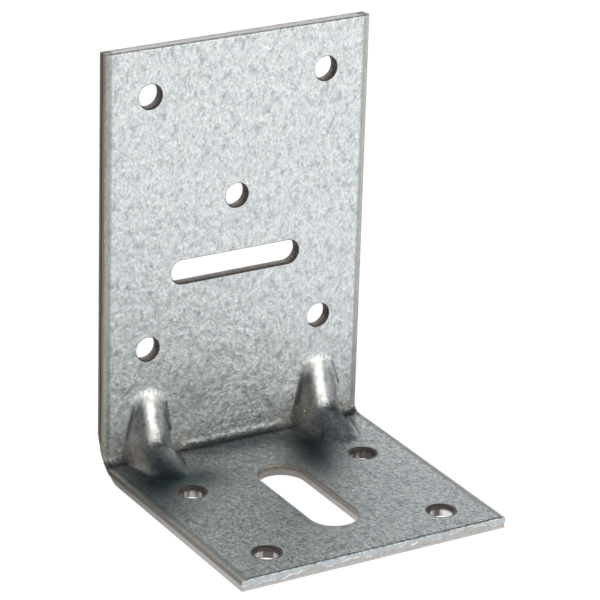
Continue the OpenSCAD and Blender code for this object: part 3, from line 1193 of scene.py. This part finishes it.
# %% Places of painted shade and painted highlights
# Spots of painted shade and painted dark reflections: x, y, z and size in mm, then strength
PAINTED_SHADE_SPOTS = (
    (-8.9, 27.5, 13.6, 5.5, 0.25), (-24.0, 14.5, 2.5, 7.0, 0.9), (-14.5, 13.0, 2.5, 5.5, 0.7),
    (-28.0, 4.0, 2.5, 6.5, 0.5), (12.5, 17.5, 2.5, 4.0, 0.8), (10.5, 11.5, 2.5, 4.5, 0.8),
    (9.0, 6.0, 2.5, 3.5, 0.4), (-8.0, 23.0, 2.5, 3.2, 0.5), (-2.5, 23.0, 2.5, 3.2, 0.5),
    (3.0, 23.0, 2.5, 3.2, 0.5), (8.5, 22.0, 2.5, 3.5, 0.5),
)
# Spots of painted highlight: x, y, z and size in mm, then strength
PAINTED_HIGHLIGHT_SPOTS = (
    (15.2, 24.0, 5.8, 2.6, 1.0), (-24.8, 24.0, 5.8, 2.8, 1.0), (27.8, 26.4, 4.4, 1.7, 0.8),
    (12.6, 26.2, 4.0, 2.0, 0.8), (-12.6, 26.2, 4.0, 2.0, 0.8), (-28.0, 26.4, 4.2, 1.5, 0.8),
)


def soft_spots(places):
    total = 0
    for x, y, z, size, strength in places:
        gap = ((at_x - x * MM) ** 2 + (frame_y - y * MM) ** 2 + (at_z - z * MM) ** 2) / (size * MM) ** 2
        total = total + strength * np.exp(-gap)
    return np.clip(total, 0, 1)


# Painted shade and painted dark reflections, on the inner side only
marks["shade"] = inner_side * soft_spots(PAINTED_SHADE_SPOTS)
# Painted highlights, on the inner side only
marks["rubbed"] = inner_side * soft_spots(PAINTED_HIGHLIGHT_SPOTS)
print(len(PAINTED_SHADE_SPOTS), "shaded and", len(PAINTED_HIGHLIGHT_SPOTS), "rubbed spots")

# %% [markdown]
# Short creases lie beside the ribs: two run off across the foot, and four run down the wall. They could
# be cut into the mesh, but they are mainly seen as thin dark lines, so each gets a line of painted shade.
# Each is given by its leg and its two ends in millimetres, and its shade fades with the distance to the
# line between them.

# %% Painted shade in the creases
CREASES = (
    ("foot", (-13.5, 25.6), (-15.4, 19.1)), ("foot", (26.5, 23.4), (24.3, 16.2)),
    ("wall", (23.8, 14.8), (25.6, 9.5)), ("wall", (-23.3, 14.0), (-25.0, 7.0)),
    ("wall", (16.6, 13.5), (15.2, 7.0)), ("wall", (-15.7, 13.5), (-14.4, 7.0)),
)
CREASE_WIDTH = 0.28 * MM
CREASE_PART = 0.75
LEG_REACH = 9 * MM


def soft_crease_shade(leg, start, end):
    points = np.stack([at_x, frame_y if leg == "foot" else at_z], axis=1)
    start, end = np.array(start) * MM, np.array(end) * MM
    run = end - start
    along = np.clip(((points - start) @ run) / (run @ run), 0, 1)
    gap = np.linalg.norm(points - start - along[:, None] * run, axis=1)
    on_leg = (at_z < LEG_REACH) if leg == "foot" else (at_y > -LEG_REACH)
    return on_leg * np.exp(-(gap / CREASE_WIDTH) ** 2)


# Painted shade along each crease, on the inner side only
marks["crease"] = inner_side * CREASE_PART * np.max([soft_crease_shade(*crease) for crease in CREASES], axis=0)
print(len(CREASES), "creases")

# %% [markdown]
# All marks go onto the mesh as one number for each point, under the names that the zinc reads. Then the
# shading is set: smooth on curved metal, sharp at real edges, and with weighted normals, which keep the
# large faces flat. At last the piece rides the fixed body and takes the imported solid's place.

# %% Finish the sheet
SHARP_ANGLE = math.radians(28)
for name, values in marks.items():
    mark = sheet.data.attributes.new(name, "FLOAT", "POINT")
    mark.data.foreach_set("value", values.astype(np.float32))
sheet.data.shade_smooth()
sheet.data.set_sharp_from_angle(angle=SHARP_ANGLE)
weigh = sheet.modifiers.new("weigh", "WEIGHTED_NORMAL")
weigh.keep_sharp = True
plain_mesh(sheet)
print(f"finished sheet: {len(sheet.data.polygons)} faces, {len(sheet.data.loop_triangles)} triangles")
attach(sheet, "root")
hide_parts("bracket")

# %% [markdown]
# The bracket stands on a white table. A lamp strong enough to make it white would flood the metal, so the
# table glows a little by itself and keeps part of its own shading, which holds the bracket's faint
# shadow. Only camera rays see it evenly white. In the metal the table's glow is a painted pool of light,
# bright in front and to the right of the bracket and dark behind and to the left, as in the photo.

# %% Table
TABLE_SIZE = 30.0
TABLE_WHITE = linear("#ffffff")
SHADOW_KEPT = 0.2
TABLE_GLOW = 1.24
MIRRORED_GLOW = 1.18
FAR_GLOW = 0.32
# Where the painted pool of light in the table's mirrored glow begins and ends
GLOW_POOL_ACROSS = (-0.055, -0.030)
GLOW_POOL_ALONG = (0.03, -0.015)
table_material, table_tree = new_material("white_table")
place = add_node(table_tree, "ShaderNodeTexCoord").outputs["Object"]
on_table = dict(add_node(table_tree, "ShaderNodeSeparateXYZ", {"Vector": place}).outputs.items())
for name, (start, stop) in {"X": GLOW_POOL_ACROSS, "Y": GLOW_POOL_ALONG}.items():
    on_table[name] = add_node(table_tree, "ShaderNodeMapRange", {
        "Value": on_table[name], "From Min": start, "From Max": stop,
    }, interpolation_type="SMOOTHSTEP")
# Painted pool of light: the mirrored glow is bright only in front and to the right
add_rows(table_tree, on_table, MATH, {"lit": ("MULTIPLY", "X", "Y")})
add_rows(table_tree, on_table, RANGE, {"mirrored": ("lit", 0.0, 1.0, FAR_GLOW, MIRRORED_GLOW)})
seen = add_node(table_tree, "ShaderNodeLightPath").outputs["Is Camera Ray"]
strength = add_node(table_tree, "ShaderNodeMix", {
    "Factor": seen, "A": on_table["mirrored"], "B": TABLE_GLOW,
})
diffuse = add_node(table_tree, "ShaderNodeBsdfDiffuse", {"Color": TABLE_WHITE})
glow = add_node(table_tree, "ShaderNodeEmission", {"Color": TABLE_WHITE, "Strength": strength})
both = add_node(table_tree, "ShaderNodeMixShader", {0: 1 - SHADOW_KEPT, 1: diffuse, 2: glow})
add_node(table_tree, "ShaderNodeOutputMaterial", {"Surface": both})
half = TABLE_SIZE / 2
corners = [(-half, -half, 0), (half, -half, 0), (half, half, 0), (-half, half, 0)]
table = mesh_object("table", corners, [(0, 1, 2, 3)])
table.data.materials.append(table_material)
print(f"table of {TABLE_SIZE:.0f} m, shadow kept at {SHADOW_KEPT:.0%}")

# %% [markdown]
# Bare metal shows mostly what stands around it, and each part of the bracket tells where the studio was
# light or dark. The foot mirrors a pale wall behind it. The left flank of each rib mirrors a brown wall
# on the left, and the right flank a dark one on the right. The lowest part of the upright leg sees, by
# way of the foot, a light at the front right. A picture of a studio could be wrapped round the scene, but
# a ring of walls painted by compass direction, with a dull ceiling, is enough for this form.

# %% The studio around
WALLS = (
    (0.00, "#8e8379"), (0.05, "#857b72"), (0.11, "#5c554f"), (0.22, "#2c2b2b"), (0.33, "#f2f3f3"),
    (0.42, "#161b1e"), (0.53, "#1a2226"), (0.59, "#2f393e"), (0.64, "#fcfcfb"), (0.80, "#f7f6f4"),
    (0.90, "#b5aea5"), (1.00, "#8e8379"),
)
CEILING = linear("#54585b")
CEILING_START = 0.55
CEILING_END = 0.90
studio = bpy.data.worlds.new("studio")
studio.use_nodes = True
sky_tree = studio.node_tree
sky_tree.nodes.clear()
way = add_node(sky_tree, "ShaderNodeTexCoord").outputs["Generated"]
compass = add_node(sky_tree, "ShaderNodeTexGradient", {"Vector": way}, gradient_type="RADIAL").outputs["Fac"]
in_sky = {"walls": add_node(sky_tree, "ShaderNodeValToRGB", {"Fac": compass})}
in_sky["walls"].color_ramp.interpolation = "EASE"
fill_ramp(in_sky["walls"].color_ramp, WALLS)
rise = add_node(sky_tree, "ShaderNodeSeparateXYZ", {"Vector": way}).outputs["Z"]
in_sky["overhead"] = add_node(sky_tree, "ShaderNodeMapRange", {
    "Value": rise, "From Min": CEILING_START, "From Max": CEILING_END,
}, interpolation_type="SMOOTHSTEP")
add_rows(sky_tree, in_sky, MIX, {"around": ("RGBA", "overhead", "walls", CEILING)})
sky = add_node(sky_tree, "ShaderNodeBackground", {"Color": in_sky["around"], "Strength": 1.0})
add_node(sky_tree, "ShaderNodeOutputWorld", {"Surface": sky})
bpy.context.scene.world = studio
print(len(WALLS), "stops around the studio")

# %% [markdown]
# One warm softbox stands low at the front right. It draws the bright line down the crest of each rib. A
# small lamp would leave a hard spot there, and a large soft one leaves the line that the photo shows.

# %% Softbox
SOFTBOX_COMPASS = math.radians(28)
SOFTBOX_RISE = math.radians(16)
SOFTBOX_REACH = 1.1
SOFTBOX_SIZE = (0.75, 0.58)
SOFTBOX_WATTS = 2.2
SOFTBOX_COLOUR = linear("#fff4e4")[:3]
softbox = bpy.data.lights.new("softbox_front_right", "AREA")
softbox.shape = "RECTANGLE"
softbox.size, softbox.size_y = SOFTBOX_SIZE
softbox.energy = SOFTBOX_WATTS
softbox.color = SOFTBOX_COLOUR
lamp = bpy.data.objects.new("softbox_front_right", softbox)
toward_lamp = Vector((
    math.sin(SOFTBOX_COMPASS) * math.cos(SOFTBOX_RISE),
    -math.cos(SOFTBOX_COMPASS) * math.cos(SOFTBOX_RISE),
    math.sin(SOFTBOX_RISE),
))
lamp.location = toward_lamp * SOFTBOX_REACH
lamp.rotation_euler = (-toward_lamp).to_track_quat("-Z", "Y").to_euler()
bpy.context.scene.collection.objects.link(lamp)
bpy.context.scene.view_settings.view_transform = "Standard"
print("softbox at", [round(v, 2) for v in lamp.location], "m")
